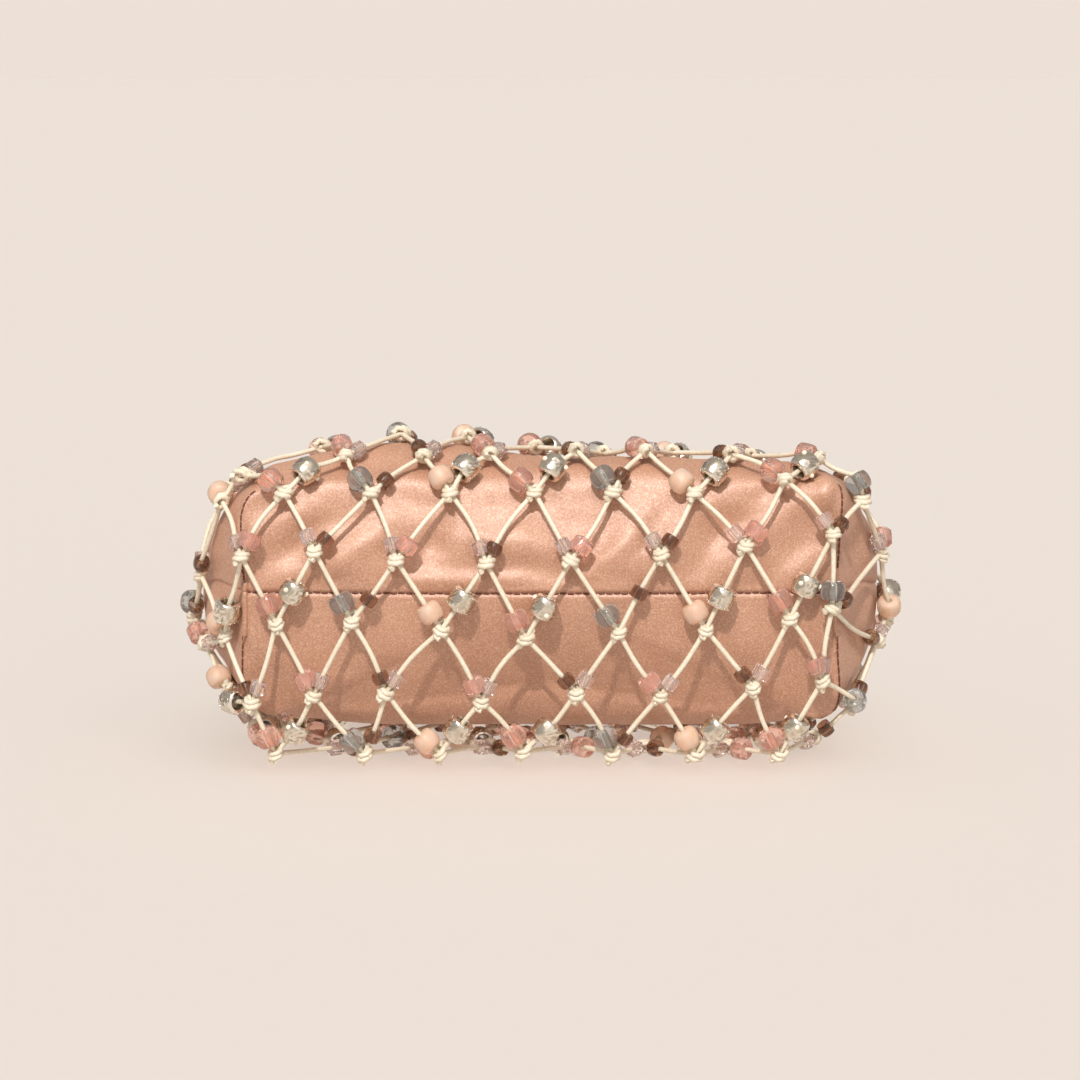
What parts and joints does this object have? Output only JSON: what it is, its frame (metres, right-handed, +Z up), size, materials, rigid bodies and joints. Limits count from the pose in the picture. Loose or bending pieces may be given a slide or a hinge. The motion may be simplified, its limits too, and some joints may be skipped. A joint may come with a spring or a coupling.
{
  "type": "evening bag",
  "caption": "Satin pouch bag with a flat oval base, held in a diamond net of knotted cord strung with metal and glass beads, closed by a hinged clasp frame.",
  "frame": {"origin": "centre of the bounding box in plan, on the surface that the bag lies on", "axes": "+X to the right across the base, +Y from the base towards the clasp, +Z up from the back panel to the front panel"},
  "size_m": [0.2588, 0.1766, 0.1177],
  "materials": {
    "rose_gold_satin": "satin",
    "lining_satin": "satin",
    "stiffening_board": "matte",
    "pale_gold_metal": "polished",
    "twisted_paper": "matte",
    "waxed_cord": "waxed",
    "silver_metal": "polished relief",
    "pink_glass": "polished",
    "grey_glass": "polished",
    "frosted_peach_glass": "frosted"
  },
  "bodies": {
    "bag": {"satin_front_panel": "rose_gold_satin", "satin_back_panel": "rose_gold_satin", "lining_front": "lining_satin", "lining_back": "lining_satin", "base_board": "stiffening_board", "frame_back": "pale_gold_metal", "packing_cord_back": "twisted_paper", "hinge_rivet_left": "pale_gold_metal", "hinge_rivet_right": "pale_gold_metal", "clasp_ball_back": "pale_gold_metal", "knotted_net": "waxed_cord", "bead_pink_upper_1": "pink_glass", "bead_grey_upper_2": "grey_glass", "bead_peach_upper_3": "frosted_peach_glass", "bead_pink_upper_4": "pink_glass", "bead_grey_upper_5": "grey_glass", "bead_peach_upper_6": "frosted_peach_glass", "bead_pink_upper_7": "pink_glass", "bead_pink_middle_1": "pink_glass", "bead_pink_middle_2": "pink_glass", "bead_pink_middle_3": "pink_glass", "bead_pink_middle_4": "pink_glass", "bead_pink_middle_5": "pink_glass", "bead_pink_middle_6": "pink_glass", "foot_bead_K2_0": "silver_metal", "foot_bead_K2_3": "silver_metal", "foot_bead_K2_6": "silver_metal", "foot_bead_K3_1": "silver_metal", "foot_bead_K3_6": "silver_metal", "foot_bead_K4_0": "silver_metal", "foot_bead_K4_3": "silver_metal", "foot_bead_K4_6": "silver_metal", "foot_bead_K5_1": "silver_metal", "foot_bead_K5_3": "silver_metal", "foot_bead_K5_4": "silver_metal", "foot_bead_K5_6": "silver_metal"},
    "front_frame": {"frame_front": "pale_gold_metal", "packing_cord_front": "twisted_paper", "clasp_ball_front": "pale_gold_metal", "satin_front_mouth": "rose_gold_satin", "lining_front_mouth": "lining_satin", "net_front_mouth": "waxed_cord"},
    "bead_pink_lower_1": {"bead_pink_lower_1": "pink_glass"},
    "bead_silver_lower_1": {"bead_silver_lower_1": "silver_metal"},
    "bead_grey_lower_2": {"bead_grey_lower_2": "grey_glass"},
    "bead_peach_lower_3": {"bead_peach_lower_3": "frosted_peach_glass"},
    "bead_silver_lower_3": {"bead_silver_lower_3": "silver_metal"},
    "bead_pink_lower_4": {"bead_pink_lower_4": "pink_glass"},
    "bead_silver_lower_4": {"bead_silver_lower_4": "silver_metal"},
    "bead_grey_lower_5": {"bead_grey_lower_5": "grey_glass"},
    "bead_peach_lower_6": {"bead_peach_lower_6": "frosted_peach_glass"},
    "bead_silver_lower_6": {"bead_silver_lower_6": "silver_metal"},
    "bead_pink_lower_7": {"bead_pink_lower_7": "pink_glass"},
    "bead_silver_lower_7": {"bead_silver_lower_7": "silver_metal"}
  },
  "joints": [
    {"name": "frame_opening", "type": "hinge", "parent": "bag", "child": "front_frame", "pos_m": [0, 0.01532, 0.035], "axis": [1, 0, 0], "range_deg": [0, 75], "deforming": ["satin_front_mouth", "lining_front_mouth", "net_front_mouth"]},
    {"name": "bead_pink_lower_1_slide", "type": "slide", "parent": "bag", "child": "bead_pink_lower_1", "axis": [-0.3806, 0.0289, 0.9243], "range_m": [0, 0.006]},
    {"name": "bead_silver_lower_1_slide", "type": "slide", "parent": "bag", "child": "bead_silver_lower_1", "axis": [0.474, -0.0148, 0.8804], "range_m": [0, 0.006]},
    {"name": "bead_grey_lower_2_slide", "type": "slide", "parent": "bag", "child": "bead_grey_lower_2", "axis": [-0.4612, 0.0279, 0.8869], "range_m": [0, 0.006]},
    {"name": "bead_peach_lower_3_slide", "type": "slide", "parent": "bag", "child": "bead_peach_lower_3", "axis": [-0.5389, 0.0231, 0.842], "range_m": [0, 0.006]},
    {"name": "bead_silver_lower_3_slide", "type": "slide", "parent": "bag", "child": "bead_silver_lower_3", "axis": [0.5547, 0.0036, 0.832], "range_m": [0, 0.006]},
    {"name": "bead_pink_lower_4_slide", "type": "slide", "parent": "bag", "child": "bead_pink_lower_4", "axis": [-0.4603, 0.0118, 0.8877], "range_m": [0, 0.006]},
    {"name": "bead_silver_lower_4_slide", "type": "slide", "parent": "bag", "child": "bead_silver_lower_4", "axis": [0.4961, 0.0109, 0.8682], "range_m": [0, 0.006]},
    {"name": "bead_grey_lower_5_slide", "type": "slide", "parent": "bag", "child": "bead_grey_lower_5", "axis": [-0.5472, 0.0063, 0.837], "range_m": [0, 0.006]},
    {"name": "bead_peach_lower_6_slide", "type": "slide", "parent": "bag", "child": "bead_peach_lower_6", "axis": [-0.5098, -0.0007, 0.8603], "range_m": [0, 0.006]},
    {"name": "bead_silver_lower_6_slide", "type": "slide", "parent": "bag", "child": "bead_silver_lower_6", "axis": [0.4227, 0.0261, 0.9059], "range_m": [0, 0.006]},
    {"name": "bead_pink_lower_7_slide", "type": "slide", "parent": "bag", "child": "bead_pink_lower_7", "axis": [-0.5241, -0.0113, 0.8516], "range_m": [0, 0.006]},
    {"name": "bead_silver_lower_7_slide", "type": "slide", "parent": "bag", "child": "bead_silver_lower_7", "axis": [0.4206, 0.0268, 0.9069], "range_m": [0, 0.006]}
  ]
}
